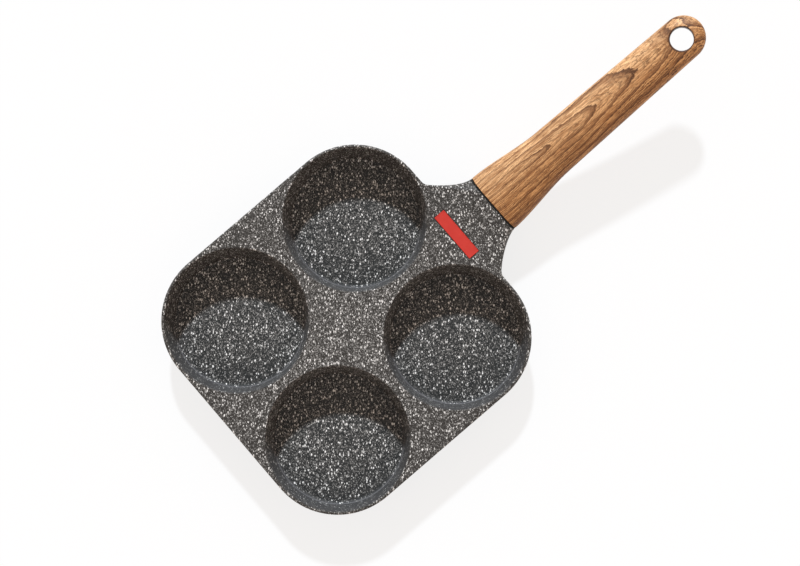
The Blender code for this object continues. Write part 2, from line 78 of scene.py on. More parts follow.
def faceOutwards(shape):
    bmesh.ops.recalc_face_normals(shape, faces=shape.faces)


def mirror(shape, axis):
    bmesh.ops.mirror(shape, geom=shape.verts[:] + shape.edges[:] + shape.faces[:],
                     matrix=Matrix.Identity(4), merge_dist=weldWithin, axis=axis)


def startRing(shape, steps, place):
    # a ring of edges whose vertices carry their number round it
    number = shape.verts.layers.int["number"]
    ring = bmesh.ops.create_circle(shape, segments=steps, radius=1.0)["verts"]
    for vert in ring:
        vert[number] = round(atan2(vert.co.y, vert.co.x) / (2 * pi) * steps) % steps
        vert.co = place(vert[number])
    return list(dict.fromkeys(edge for vert in ring for edge in vert.link_edges))


def pull(shape, edges, place):
    # draws a row of faces out of some edges, to where place puts each vertex by its number
    number = shape.verts.layers.int["number"]
    made = bmesh.ops.extrude_edge_only(shape, edges=edges)["geom"]
    verts = {item for item in made if isinstance(item, bmesh.types.BMVert)}
    for vert in verts:
        vert.co = place(vert[number])
    return [item for item in made
            if isinstance(item, bmesh.types.BMEdge) and set(item.verts) <= verts]


def loft(steps, places):
    # a closed body through one ring for each place, flat at both ends
    shape = newShape()
    first = startRing(shape, steps, places[0])
    last = first
    for place in places[1:]:
        last = pull(shape, last, place)
    bmesh.ops.holes_fill(shape, edges=first + last)
    faceOutwards(shape)
    return shape


def turned(profile, steps, turn=2 * pi, rise=0.0):
    # spins a profile of (radius, height) about Z, all round or as a split ring
    shape = newShape()
    verts = [shape.verts.new((radius, 0.0, height)) for radius, height in profile]
    full = turn == 2 * pi
    if not full:
        verts.append(verts[0])
    edges = [shape.edges.new(pair) for pair in zip(verts, verts[1:])]
    chain = list(dict.fromkeys(verts)) + edges
    if not full:
        bmesh.ops.holes_fill(shape, edges=edges)
        chain += shape.faces[:]
    bmesh.ops.spin(shape, geom=chain, cent=(0, 0, 0), axis=(0, 0, 1), angle=turn, steps=steps,
                   dvec=(0, 0, rise / steps), use_merge=full)
    weld(shape)
    faceOutwards(shape)
    return shape


def move(shape, by):
    bmesh.ops.translate(shape, vec=by, verts=shape.verts)


def block(low, high, rounding=0.0, segments=3):
    shape = newShape()
    bmesh.ops.create_cube(shape, size=1.0)
    low, high = Vector(low), Vector(high)
    bmesh.ops.scale(shape, vec=high - low, verts=shape.verts)
    move(shape, (low + high) / 2)
    if rounding:
        bmesh.ops.bevel(shape, geom=shape.edges[:], offset=rounding, affect="EDGES",
                        segments=segments, profile=0.5, material=-1, clamp_overlap=True)
    return shape


def addObject(name, data):
    made = bpy.data.objects.new(name, data)
    bpy.context.scene.collection.objects.link(made)
    return made


def objectFrom(shape, name):
    mesh = bpy.data.meshes.new(name)
    shape.to_mesh(mesh)
    shape.free()
    return addObject(name, mesh)


def combine(piece, shape, operation="DIFFERENCE"):
    # cuts a shape out of a piece, or joins it on, and keeps the result as plain mesh
    tool = objectFrom(shape, "tool")
    step = piece.modifiers.new("combine", "BOOLEAN")
    step.operation = operation
    step.solver = "EXACT"
    step.object = tool
    graph = bpy.context.evaluated_depsgraph_get()
    old = piece.data
    piece.data = bpy.data.meshes.new_from_object(piece.evaluated_get(graph))
    piece.modifiers.clear()
    bpy.data.meshes.remove(old)
    bpy.data.objects.remove(tool)


def finishPiece(piece, material, nodes, sharp=32.0):
    # millimetres to metres, into the frame, smooth with crisp edges, riding on the frame
    shape = bmesh.new()
    shape.from_mesh(piece.data)
    bmesh.ops.remove_doubles(shape, verts=shape.verts, dist=lastWeldWithin)
    openEdges = sum(1 for edge in shape.edges if not edge.is_manifold)
    bmesh.ops.scale(shape, vec=(mm, mm, mm), verts=shape.verts)
    move(shape, (panX, 0.0, 0.0))
    shape.to_mesh(piece.data)
    shape.free()
    piece.data.name = piece.name
    piece.data.materials.clear()
    piece.data.materials.append(material)
    piece.data.shade_smooth()
    piece.data.set_sharp_from_angle(angle=radians(sharp))
    piece.modifiers.new("even normals", "WEIGHTED_NORMAL").keep_sharp = True
    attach(piece, "root")
    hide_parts(*nodes)
    print(piece.name, "made,", len(piece.data.polygons), "faces,", openEdges, "open edges")


def mix(start, end, share):
    return start + (end - start) * share


def smoothStep(share):
    share = min(max(share, 0.0), 1.0)
    return share * share * (3 - 2 * share)


def spaced(steps, start=0.0, end=pi / 2):
    # even steps from start to end, or over a quarter turn
    return [mix(start, end, step / steps) for step in range(steps + 1)]


def sectionPoint(number, steps, halfWidth, halfHeight, cornerWidth, cornerHeight):
    # a point (across, up) on a section with elliptical corners and a flat on each side
    quarter, step = divmod(number, steps + 1)
    side = 1 if quarter in (0, 3) else -1
    level = 1 if quarter < 2 else -1
    angle = (quarter + step / steps) * pi / 2
    return (side * (halfWidth - cornerWidth) + cornerWidth * cos(angle),
            level * (halfHeight - cornerHeight) + cornerHeight * sin(angle))


def wire(node, **values):
    # a key is a setting of the node or one of its sockets, where i6 is the socket at place 6
    for key, value in values.items():
        if hasattr(node, key):
            setattr(node, key, value)
            continue
        socket = node.inputs[int(key[1:]) if key[1:].isdigit() else key.replace("_", " ")]
        if isinstance(value, bpy.types.NodeSocket):
            tree.links.new(value, socket)
        else:
            socket.default_value = value


def addNode(kind, **values):
    made = tree.nodes.new("ShaderNode" + kind)
    wire(made, **values)
    return made


def openTree(owner):
    global tree
    owner.use_nodes = True
    tree = owner.node_tree


def newMaterial(name, **values):
    # gives the material, its shader and each point's place on the object
    material = bpy.data.materials.new(name)
    openTree(material)
    shader = tree.nodes["Principled BSDF"]
    wire(shader, **values)
    return material, shader, addNode("TexCoord").outputs["Object"]


def maths(operation, *values):
    inputs = {f"i{place}": value for place, value in enumerate(values)}
    return addNode("Math", operation=operation, **inputs).outputs[0]


def times(*values):
    return reduce(lambda first, second: maths("MULTIPLY", first, second), values)


def plus(*values):
    return reduce(lambda first, second: maths("ADD", first, second), values)


def scaled(value, factor, added):
    return maths("MULTIPLY_ADD", value, factor, added)


def vectorMaths(operation, *values):
    inputs = {f"i{place}": value for place, value in enumerate(values)}
    made = addNode("VectorMath", operation=operation, **inputs)
    return made.outputs["Value" if operation in ("LENGTH", "DOT_PRODUCT") else "Vector"]


def between(value, low, high, start=0.0, end=1.0):
    # smooth step from start at low to end at high
    return addNode("MapRange", interpolation_type="SMOOTHSTEP", Value=value,
                   From_Min=low, From_Max=high, To_Min=start, To_Max=end).outputs[0]


def noise(vector, scale, detail, roughness):
    # its outputs are a value and a colour
    return addNode("TexNoise", Vector=vector, Scale=scale, Detail=detail,
                   Roughness=roughness).outputs


def linear(*bytes8):
    # a colour off a screen, in linear light
    return tuple((byte / 255 / 12.92 if byte < 10 else ((byte / 255 + 0.055) / 1.055) ** 2.4)
                 for byte in bytes8) + (1.0,)


def blendColour(share, *colours):
    # a colour is a node's output, three bytes off a screen, or four numbers in linear light
    first, second = (linear(*colour) if isinstance(colour, tuple) and len(colour) == 3 else colour
                     for colour in colours)
    return addNode("Mix", data_type="RGBA", i0=share, i6=first, i7=second).outputs[2]


def blendValue(share, first, second):
    return addNode("Mix", i0=share, i2=first, i3=second).outputs[0]


def bump(height, strength, distance):
    return addNode("Bump", Height=height, Strength=strength, Distance=distance).outputs[0]


# In the materials a noise is its cells to the metre, then its detail and roughness, a bump is its
# strength and height, and a roughness its change and its least.
coating = {
    # a lighter ground on the walls facing the key light is a painted sheen; a browner one on the
    # far walls is painted shade
    "floorGround": (40, 41, 41), "shadedWallGround": (40, 35, 31), "litWallGround": (68, 68, 69),
    "deckGround": (51, 48, 45), "grey": (100, 98, 96), "paintedFilletHighlight": (130, 130, 133),
    "cloud": (700.0, 3.0, 0.7), "cloudShare": (0.45, 0.72, 0.0, 0.5),
    # cells to the metre, a dab's reach in its cell, share of cells with one, and its two tones
    "layers": ((1480.0, 0.48, 0.90, (90, 88, 86), (150, 148, 145)),
               (1080.0, 0.47, 0.62, (116, 114, 111), (220, 218, 215)),
               (730.0, 0.44, 0.46, (210, 208, 205), (253, 252, 250))),
    "dabEdge": (-0.02, 0.04), "ragged": (1100.0, 2.0, 0.6), "jitter": 0.0011,
    # the spray draws the dabs out a little in one direction
    "drawnAt": radians(49.4), "drawn": (1.38, 0.76, 1.0),
    # towards the side of each cup whose wall faces the key light, that wall gets a painted sheen of
    # fewer dabs and a lighter ground, and the floor on that side gets fewer dabs
    "litSide": (-0.57, -0.82, 0.0), "nearWall": (-0.012, 0.018), "wallShares": (0.78, 0.25),
    "nearFloor": (0.010, 0.038), "floorShares": (0.78, 0.5),
    # more dabs in the middle of the deck than towards its edges: a painted pool of light
    "fromCentre": (0.02, 0.07), "paintedPoolShares": (1.03, 0.78),
    # depths under the deck, in millimetres, where its coating goes over into the cup's
    "rimDepths": (0.3, 0.9),
    # heights where the floor ends, and where a painted highlight on the fillet round it, on the lit
    # side, comes and goes
    "floorEnds": (0.0041, 0.0036), "paintedHighlightFrom": (0.0040, 0.0047),
    "paintedHighlightTo": (0.0060, 0.0052, 0.0, 0.6),
    # a cone between the inner and the outer wall of a cup: its slope and its radius at the bottom
    "cone": (0.127, 0.0415),
    "grain": (2600.0, 2.0, 0.5), "dabHeight": 0.5, "bump": (0.25, 0.00006),
    "roughness": (0.14, 0.49),
}


def fromCupMiddle(place):
    # distance from the middle of the nearest cup, seen from above
    offset = cupOffset * mm
    folded = vectorMaths("ABSOLUTE", vectorMaths("SUBTRACT", place, (panX, 0.0, 0.0)))
    own = vectorMaths("SUBTRACT", folded, (offset, offset, 0.0))
    return vectorMaths("LENGTH", vectorMaths("MULTIPLY", own, (1.0, 1.0, 0.0)))


def towardsLitSide(place):
    # how far a point in a cup lies from the cup's middle towards the side whose wall faces the key
    # light
    pitch = 2 * cupOffset * mm
    cell = vectorMaths("WRAP", place, (panX + pitch, pitch, 1.0), (panX, 0.0, -1.0))
    own = vectorMaths("SUBTRACT", cell, (panX + pitch / 2, pitch / 2, 0.0))
    return vectorMaths("DOT_PRODUCT", own, coating["litSide"])


def makeCoating():
    # charcoal coating with layers of pale dabs, thick on the deck and thinner in the cups
    material, shader, place = newMaterial("speckledCoating", Specular_IOR_Level=0.2)
    height = addNode("SeparateXYZ", Vector=place).outputs["Z"]
    within = maths("LESS_THAN", fromCupMiddle(place), scaled(height, *coating["cone"]))
    below = between(height, *((deckTop - depth) * mm for depth in coating["rimDepths"]))
    inCup = times(within, below)
    onFloor = between(height, *coating["floorEnds"])
    # towards the lit side, the wall's fewer dabs and lighter ground are a painted sheen
    nearness = towardsLitSide(place)
    nearWall = between(nearness, *coating["nearWall"])
    wallShare = between(nearWall, 0.0, 1.0, *coating["wallShares"])
    floorShare = between(nearness, *coating["nearFloor"], *coating["floorShares"])
    # the deck's dabs thin out from its middle: a painted pool of light
    fromCentre = vectorMaths("SUBTRACT", place, (panX, 0.0, deckTop * mm))
    paintedPoolShare = between(vectorMaths("LENGTH", fromCentre), *coating["fromCentre"],
                        *coating["paintedPoolShares"])
    cupShare = blendValue(onFloor, wallShare, floorShare)
    thick = blendValue(inCup, paintedPoolShare, cupShare)

    # the ground: a painted sheen makes it lighter on the near walls, which face the key light,
    # painted shade makes it browner on the far walls, and a painted highlight makes it lightest on
    # the fillet round the floor on that side
    cupGround = blendColour(nearWall, coating["shadedWallGround"], coating["litWallGround"])
    cupGround = blendColour(onFloor, cupGround, coating["floorGround"])
    # a painted highlight on the fillet round the floor, on the side facing the key light
    paintedFilletHighlight = times(between(height, *coating["paintedHighlightFrom"]),
                 between(height, *coating["paintedHighlightTo"]), nearWall)
    cupGround = blendColour(paintedFilletHighlight, cupGround, coating["paintedFilletHighlight"])
    ground = blendColour(inCup, coating["deckGround"], cupGround)
    cloud = between(noise(place, *coating["cloud"])[0], *coating["cloudShare"])
    colour = blendColour(cloud, ground, coating["grey"])

    # the dabs, layer on layer
    ragged = noise(place, *coating["ragged"])["Color"]
    pushed = vectorMaths("MULTIPLY_ADD", ragged, (coating["jitter"],) * 3, place)
    pushed = addNode("Mapping", vector_type="TEXTURE", Vector=pushed,
                     Scale=coating["drawn"], Rotation=(0.0, 0.0, coating["drawnAt"])).outputs[0]
    raised = 0.0
    for scale, reach, share, dull, bright in coating["layers"]:
        cells = addNode("TexVoronoi", Vector=pushed, Scale=scale).outputs
        chance = addNode("SeparateColor", Color=cells["Color"]).outputs
        size = scaled(chance["Red"], reach / 2, reach / 2)
        dab = between(maths("SUBTRACT", size, cells["Distance"]), *coating["dabEdge"])
        kept = maths("LESS_THAN", chance["Green"], times(thick, share))
        shown = times(dab, kept)
        tone = blendColour(chance["Blue"], dull, bright)
        colour = blendColour(shown, colour, tone)
        raised = maths("MAXIMUM", raised, shown)
    grain = noise(place, *coating["grain"])[0]
    relief = scaled(raised, coating["dabHeight"], grain)
    wire(shader, Base_Color=colour, Normal=bump(relief, *coating["bump"]),
         Roughness=scaled(grain, *coating["roughness"]))
    return material


wood = {
    "pale": (223, 171, 120), "honey": (162, 111, 69), "brown": (118, 73, 42), "dark": (80, 48, 26),
    # the side of the handle facing the key light is painted paler and the side away from it darker:
    # painted light and shade across the handle
    "paintedLightAcross": (-6.0, 9.0), "paintedLightTints": ((0.96, 0.89, 0.77, 1.0), (1.33, 1.47, 1.62, 1.0)),
    # the heart of the rings leaves the handle's top near the pan, and slopes down from there
    "heart": (26.3, 4.2, 8.7), "heartSlope": 0.108, "ringStep": 3.55,
    "endCurve": 0.003, "endFrom": 141.0,
    # noises with their cells to the millimetre along and across, and how strongly they bend rings
    "drift": (0.022, 0.04, 1.5, 0.5), "wander": 2.2,
    "waves": ((0.5, 0.16, 0.32, 4.0, 0.7), (0.13, 0.55, 0.55, 3.0, 0.7)),
    "fibre": (0.06, 0.9, 5.0, 0.78), "fibreShare": (0.40, 0.60),
    # the part of a ring's year that is late wood, and its dark line: how each rises and falls
    "lateWood": ((0.40, 0.98), (1.0, 0.97)), "lateShare": 0.8,
    "line": ((0.81, 0.94), (1.0, 0.975)),
    "linePatches": ((0.028, 0.22, 2.0, 0.5), (0.34, 0.60, 0.3, 1.0)),
    "flatCutFade": (-0.97, -0.78, 0.1, 1.0), "panFade": (5.0, 60.0, 0.6, 1.0),
    # fineFade brings out more fine lines towards the side away from the key light: partly painted
    # shade
    "fineLines": 5.0, "fineLine": ((0.45, 0.9), (1.0, 0.94)), "fineFade": (2.0, -8.0, 0.6, 1.0),
    "finePatches": ((0.06, 0.35, 2.0, 0.6), (0.34, 0.52)),
    "pores": ((0.30, 4.0, 1.0, 0.5), (0.60, 0.70)), "poreShare": 0.75,
    # where the dark colour starts at the hanging hole and at the screw's well
    "holeEdge": 0.45, "wellGap": 0.12, "wellEdge": 0.06, "wellTop": (-2.0, -3.0),
    "bump": (0.2, 0.0001), "roughness": (0.16, 0.42),
}


def makeWood():
    # oak-look film: rings about a tilted heart give nested arches on top and lines along the sides
    material, shader, world = newMaterial("woodLook", Specular_IOR_Level=0.3)
    joint = Vector((panX + neck["jointX"] * mm, 0.0, neck["jointZ"] * mm))
    moved = vectorMaths("SUBTRACT", world, joint)
    place = addNode("Mapping", Vector=moved, Rotation=(0.0, neck["slope"], 0.0),
                    Scale=(1 / mm,) * 3).outputs[0]
    x, y, z = addNode("SeparateXYZ", Vector=place).outputs

    def grained(along, across, detail, roughness):
        drawn = vectorMaths("MULTIPLY", place, (along, across, across))
        return noise(drawn, 1.0, detail, roughness)

    def streaks(grain, share):
        return between(grained(*grain)[0], *share)

    def band(season, rise, fall):
        return times(between(season, *rise), between(season, *fall))

    def wandering(value):
        return scaled(value, 2 * wood["wander"], -wood["wander"])

    # the grain follows the handle's flare and its droop, and wanders a little
    flareEnd = handle["start"] + handle["flareLength"]
    narrowed = times(y, between(x, handle["start"], flareEnd,
                                handle["gripWidth"] / handle["rootWidth"], 1.0))
    droop = times(handle["droop"] / handle["end"] ** 2, x, x)
    drift = addNode("SeparateColor", Color=grained(*wood["drift"])["Color"]).outputs
    heartAt, heartAside, heartUp = wood["heart"]
    across = plus(maths("SUBTRACT", narrowed, heartAside), wandering(drift["Red"]))
    late = maths("MAXIMUM", maths("SUBTRACT", x, wood["endFrom"]), 0.0)
    fromHeart = maths("SUBTRACT", x, heartAt)
    deep = plus(scaled(fromHeart, wood["heartSlope"], -heartUp), plus(z, droop),
                times(wood["endCurve"], late, late), wandering(drift["Green"]))
    radius = maths("SQRT", plus(times(across, across), times(deep, deep)))
    rings = maths("DIVIDE", radius, wood["ringStep"])
    for strength, *grain in wood["waves"]:
        rings = scaled(grained(*grain)[0], strength, rings)
    season = maths("FRACT", rings)

    # fibres, then each ring's late wood and line, fainter where it is cut flat and near the pan
    fibre = grained(*wood["fibre"])[0]
    colour = blendColour(between(fibre, *wood["fibreShare"]), wood["honey"], wood["pale"])
    fade = times(between(maths("DIVIDE", deep, radius), *wood["flatCutFade"]),
                 between(x, *wood["panFade"]))
    lateWood = times(band(season, *wood["lateWood"]), fade, wood["lateShare"])
    colour = blendColour(lateWood, colour, wood["brown"])
    line = times(band(season, *wood["line"]), streaks(*wood["linePatches"]), fade)

    # finer lines between, with more of them towards the handle's shaded side, partly grain and
    # partly painted shade, and pores
    fineSeason = maths("FRACT", times(rings, wood["fineLines"]))
    fineLine = times(band(fineSeason, *wood["fineLine"]),
                     between(y, *wood["fineFade"]), streaks(*wood["finePatches"]))
    pore = streaks(*wood["pores"])
    for share in (line, fineLine, times(pore, wood["poreShare"])):
        colour = blendColour(share, colour, wood["dark"])
    # painted light and shade: paler on the side facing the key light, darker on the side away from
    # it
    paintedLight = blendColour(between(y, *wood["paintedLightAcross"]), *wood["paintedLightTints"])
    colour = vectorMaths("MULTIPLY", colour, paintedLight)

    def fromAxis(along):
        aside = maths("SUBTRACT", x, along)
        return vectorMaths("LENGTH", addNode("CombineXYZ", X=aside, Y=y).outputs[0])

    # the hanging hole's wall and the screw well's wall are coloured dark brown
    edge = handle["holeRadius"] + handle["holeRounding"]
    holeWall = between(fromAxis(handle["holeAt"]), edge, edge - wood["holeEdge"])
    edge = handle["washerRadius"] + wood["wellGap"]
    well = times(between(fromAxis(neck["screwAt"]), edge, edge - wood["wellEdge"]),
                 between(z, *wood["wellTop"]))
    colour = blendColour(maths("MAXIMUM", holeWall, well), colour, wood["dark"])
    relief = maths("SUBTRACT", fibre, pore)
    wire(shader, Base_Color=colour, Normal=bump(relief, *wood["bump"]),
         Roughness=scaled(fibre, *wood["roughness"]))
    return material


steel = {
    "fineRings": (4200.0, 2.0), "fineShare": (0.3, 0.7),
    "broadRings": (620.0, 3.0), "broadShare": (0.62, 0.38, 0.0, 0.4),
    "tones": ((0.34, 0.33, 0.32, 1.0), (0.56, 0.55, 0.53, 1.0)), "shade": (0.26, 0.25, 0.245, 1.0),
    "smear": (60.0, 3.0, 0.5), "bump": (0.35, 0.00003), "roughness": (0.16, 0.24),
}


def makeSteel():
    # turned magnetic steel: fine and broad rings about each disc's own middle
    material, shader, place = newMaterial("inductionSteel", Metallic=1.0)
    fromMiddle = fromCupMiddle(place)

    def rings(scale, detail):
        return addNode("TexNoise", noise_dimensions="1D", W=fromMiddle, Scale=scale,
                       Detail=detail).outputs[0]

    fine = rings(*steel["fineRings"])
    broad = between(rings(*steel["broadRings"]), *steel["broadShare"])
    colour = blendColour(between(fine, *steel["fineShare"]), *steel["tones"])
    colour = blendColour(broad, colour, steel["shade"])
    smear = noise(place, *steel["smear"])[0]
    wire(shader, Base_Color=colour, Normal=bump(fine, *steel["bump"]),
         Roughness=scaled(smear, *steel["roughness"]))
    return material


finishes = {
    "redBadge": {"tones": ((190, 48, 40), (208, 62, 52)), "cloud": (260.0, 4.0, 0.6),
                 "grain": (3000.0, 2.0, 0.5), "bump": (0.12, 0.00004), "roughness": (0.12, 0.32)},
    "blackGasket": {"tones": ((0.008, 0.008, 0.008, 1.0), (0.02, 0.02, 0.02, 1.0)),
                    "cloud": (2200.0, 3.0, 0.6), "bump": (0.3, 0.00005)},
    "platedSteel": {"tones": ((0.42, 0.42, 0.41, 1.0), (0.60, 0.60, 0.58, 1.0)),
                    "cloud": (700.0, 4.0, 0.6), "bump": (0.1, 0.00005), "roughness": (0.2, 0.16)},
}


def makeFinish(name, **values):
    # two cloudy tones, with the cloud or a finer grain standing out
    finish = finishes[name]
    material, shader, place = newMaterial(name, **values)
    cloud = noise(place, *finish["cloud"])[0]
    grain = noise(place, *finish["grain"])[0] if "grain" in finish else cloud
    wire(shader, Base_Color=blendColour(cloud, *finish["tones"]),
         Normal=bump(grain, *finish["bump"]))
    if "roughness" in finish:
        wire(shader, Roughness=scaled(cloud, *finish["roughness"]))
    return material


pan = {
    "steps": 144, "deckThickness": 3.0, "cornerRadius": 46.2, "topEdge": 1.1, "topEdgeSteps": 4,
    "lowEdge": 0.5, "lowEdgeSteps": 3,
    "rimRadius": 45.0, "rimRounding": 0.8, "rimTurn": radians(81.6), "rimSteps": 7,
    "mouthRadius": 43.572, "draft": radians(6.5), "mouthDraft": radians(8.4), "wall": 2.315,
    "mouthShares": (0.1, 0.4, 0.7, 0.95), "wallHeights": (18.0, 8.0),
    "floor": 3.4, "floorFillet": 2.4, "floorFilletRadius": 38.58, "floorSteps": 9,
    "base": 0.4, "baseFillet": 4.0, "baseFilletRadius": 39.13, "baseSteps": 8,
    "pocketRadius": 33.43, "pocketTop": 1.1, "pocketEdge": 0.15,
    "webFillet": 4.0, "webMost": 0.85, "webSteps": 6,
    # a narrow row of faces beside an edge keeps the flat next to it smooth
    "support": 0.35, "supportMost": 0.33,
}
pan["half"] = cupOffset + pan["cornerRadius"]


def wallRadius(height):
    return pan["mouthRadius"] - (deckTop - height) * tan(pan["draft"])


def outline(number, inset):
    # a quarter of the deck, at steps about its cup's middle: one corner is round, three are square
    turn = 2 * pi * number / pan["steps"]
    x, y = cos(turn), sin(turn)
    if number > pan["steps"] / 4:
        longest = max(abs(x), abs(y))
        x, y = x / longest, y / longest
    reach = pan["cornerRadius"] - inset
    return Vector([cupOffset + part * (reach if part > 0 else cupOffset) for part in (x, y)])


def ringAt(radius, height):
    def place(number):
        turn = 2 * pi * number / pan["steps"]
        return Vector((cupOffset + radius * cos(turn), cupOffset + radius * sin(turn), height))
    return place


def makeQuarter():
    shape = newShape()
    number = shape.verts.layers.int["number"]
    lowZ = deckTop - pan["deckThickness"]
    outer = pan["steps"] * 3 / 8, pan["steps"] * 7 / 8
    support, most = pan["support"], pan["supportMost"]
    rimRadius, rimRounding = pan["rimRadius"], pan["rimRounding"]

    def spreadAt(radius, inset, height, share):
        # from the ring of that radius towards the outline, by a share that depends on their gap
        def place(step):
            near = ringAt(radius(step), height)(step)
            far = Vector((*outline(step, inset), height))
            return near.lerp(far, share((far - near).length))
        return place

    # top of the deck, from the rim outwards, then over its edge to the underside
    rim = startRing(shape, pan["steps"], ringAt(rimRadius, deckTop))
    row = rim
    for share in (lambda gap: min(support / gap, most),
                  lambda gap: max(1 - support / gap, 1 - most), lambda gap: 1.0):
        row = pull(shape, row, spreadAt(lambda step: rimRadius, pan["topEdge"], deckTop, share))
    row = [edge for edge in row
           if not any(outer[0] < vert[number] < outer[1] for vert in edge.verts)]
    edgePath = [(pan["topEdge"] * (1 - sin(turn)), deckTop - pan["topEdge"] * (1 - cos(turn)))
                for turn in spaced(pan["topEdgeSteps"])[1:]]
    edgePath += [(pan["lowEdge"] * (1 - cos(turn)), lowZ + pan["lowEdge"] * (1 - sin(turn)))
                 for turn in spaced(pan["lowEdgeSteps"])]
    for inset, height in edgePath:
        row = pull(shape, row, lambda step: Vector((*outline(step, inset), height)))

    # inside of the cup, from the rim down
    row = rim
    for turn in spaced(pan["rimSteps"], 0.0, pan["rimTurn"])[1:]:
        row = pull(shape, row, ringAt(rimRadius - rimRounding * sin(turn),
                                      deckTop - rimRounding * (1 - cos(turn))))
    draft, fillet, filletRadius = pan["mouthDraft"], pan["floorFillet"], pan["floorFilletRadius"]
    filletTop = pan["floor"] + fillet * (1 - sin(draft))
    rimLow = deckTop - rimRounding * (1 - sin(draft))
    inside = rimRadius - rimRounding * cos(draft), filletRadius + fillet * cos(draft)
    for share in pan["mouthShares"]:
        row = pull(shape, row, ringAt(mix(*inside, share), mix(rimLow, filletTop, share)))
    for turn in spaced(pan["floorSteps"], draft):
        row = pull(shape, row, ringAt(filletRadius + fillet * cos(turn),
                                      pan["floor"] + fillet * (1 - sin(turn))))
    row = pull(shape, row, ringAt(filletRadius - support, pan["floor"]))
    bmesh.ops.holes_fill(shape, edges=row)

    # underside: the web between the cups, the outer wall, the base and the disc's pocket
    wallTop = wallRadius(lowZ) + pan["wall"]

    def webRadius(step):
        gap = (outline(step, pan["lowEdge"]) - Vector((cupOffset, cupOffset))).length - wallTop
        return min(pan["webFillet"], pan["webMost"] * gap)

    web = startRing(shape, pan["steps"], lambda step: ringAt(wallTop + webRadius(step), lowZ)(step))
    pull(shape, web, spreadAt(lambda step: wallTop + webRadius(step), pan["lowEdge"], lowZ,
                              lambda gap: 1.0))
    row = web
    for turn in spaced(pan["webSteps"])[1:]:
        def onWeb(step):
            height = lowZ - webRadius(step) * (1 - cos(turn))
            lean = (lowZ - height) * tan(pan["draft"])
            return ringAt(wallTop - lean + webRadius(step) * (1 - sin(turn)), height)(step)

        row = pull(shape, row, onWeb)
    for height in pan["wallHeights"]:
        row = pull(shape, row, ringAt(wallRadius(height) + pan["wall"], height))
    for turn in spaced(pan["baseSteps"], pan["draft"]):
        row = pull(shape, row, ringAt(pan["baseFilletRadius"] + pan["baseFillet"] * cos(turn),
                                      pan["base"] + pan["baseFillet"] * (1 - sin(turn))))
    base, top = pan["base"], pan["pocketTop"]
    pocket, edge = pan["pocketRadius"], pan["pocketEdge"]
    for radius, height in ((pan["baseFilletRadius"] - support, base), (pocket + support, base),
                           (pocket + edge, base), (pocket, base + edge), (pocket, top),
                           (pocket - support, top)):
        row = pull(shape, row, ringAt(radius, height))
    bmesh.ops.holes_fill(shape, edges=row)
    weld(shape)
    return shape


neck = {
    "length": 24.6, "rootWidth": 72.4, "rootFillet": 2.0, "flare": 1.5, "rootHeight": 3.04,
    "endWidth": 40.5, "endHeight": 19.0, "corner": 0.62, "side": 0.88, "slope": radians(13.0),
    "proud": 0.02, "cupClear": 45.2, "endRounding": 0.35, "endSteps": 3,
    "wall": 3.2, "rib": 3.6, "endWall": 5.0,
    # the root starts sunk inside the deck, and comes up just before its edge
    "bury": 9.6, "sunkTo": 1.6, "sunkSteps": 6, "sink": 0.5, "rises": (1.15, 0.5, 0.0),
    "steps": 30, "stepGrowth": 1.8, "sectionSteps": 10,
    "pocketRounding": 1.2, "pocketBelow": 3.0, "pocketSteps": 16, "pocketSectionSteps": 4,
    "tenon": ((-3.0, -12.0, -1.325), (27.0, 12.0, 5.8)), "tenonRounding": 0.8,
    "screwAt": 15.0, "holeRadius": 2.8, "holeTop": 4.8, "holeLow": -4.0, "holeSteps": 48,
}
neck["rise"] = neck["length"] * tan(neck["slope"]) / 2
neck["jointX"] = pan["half"] + neck["length"]
neck["jointZ"] = deckTop + neck["rise"] - neck["endHeight"] / 2 * cos(neck["slope"])
handleFrame = (Matrix.Translation((neck["jointX"], 0.0, neck["jointZ"]))
               @ Matrix.Rotation(-neck["slope"], 4, "Y"))
screwFrame = handleFrame @ Matrix.Translation((neck["screwAt"], 0.0, 0.0))


def neckHalfWidth(x):
    out = max(x - pan["half"], 0.0)
    left = max(1 - out / neck["length"], 0.0)
    near = 1 - min(out / neck["rootFillet"], 1.0)
    width = mix(neck["endWidth"], neck["rootWidth"], left ** neck["flare"]) / 2
    width += neck["rootFillet"] * (1 - sqrt(1 - near * near))
    if x < pan["half"]:
        # inside the deck the root keeps clear of the two front cups
        clear = cupOffset - sqrt(max(neck["cupClear"] ** 2 - (x - cupOffset) ** 2, 0.0))
        width = min(width, clear)
    return width


def neckHeight(x):
    grown = smoothStep((x - pan["half"] + neck["bury"]) / (neck["length"] + neck["bury"]))
    return mix(neck["rootHeight"], neck["endHeight"], grown)


def neckPoint(x, across, up, sink=0.0):
    # across and up lie on the section at x, whose top follows the deck, then the handle's slope
    share = max(x - pan["half"], 0.0) / neck["length"]
    tilt = neck["slope"] * share
    top = deckTop + neck["proud"] * (1 - share) + neck["rise"] * share * share
    middle = top - (neckHeight(x) + sink) / 2 * cos(tilt)
    return Vector((x - up * sin(tilt), across, middle + up * cos(tilt)))


def neckRing(x, inset=0.0, sink=0.0):
    share = max(x - pan["half"], 0.0) / neck["length"]
    cornerWidth = mix(pan["topEdge"], neck["endWidth"] / 2 * neck["corner"], share * share)
    cornerHeight = mix(pan["topEdge"], neck["endHeight"] / 2 * neck["side"], share * share)

    def place(number):
        across, up = sectionPoint(number, neck["sectionSteps"], neckHalfWidth(x) - inset,
                                  (neckHeight(x) - sink) / 2 - inset, cornerWidth, cornerHeight)
        return neckPoint(x, across, up, sink)
    return place


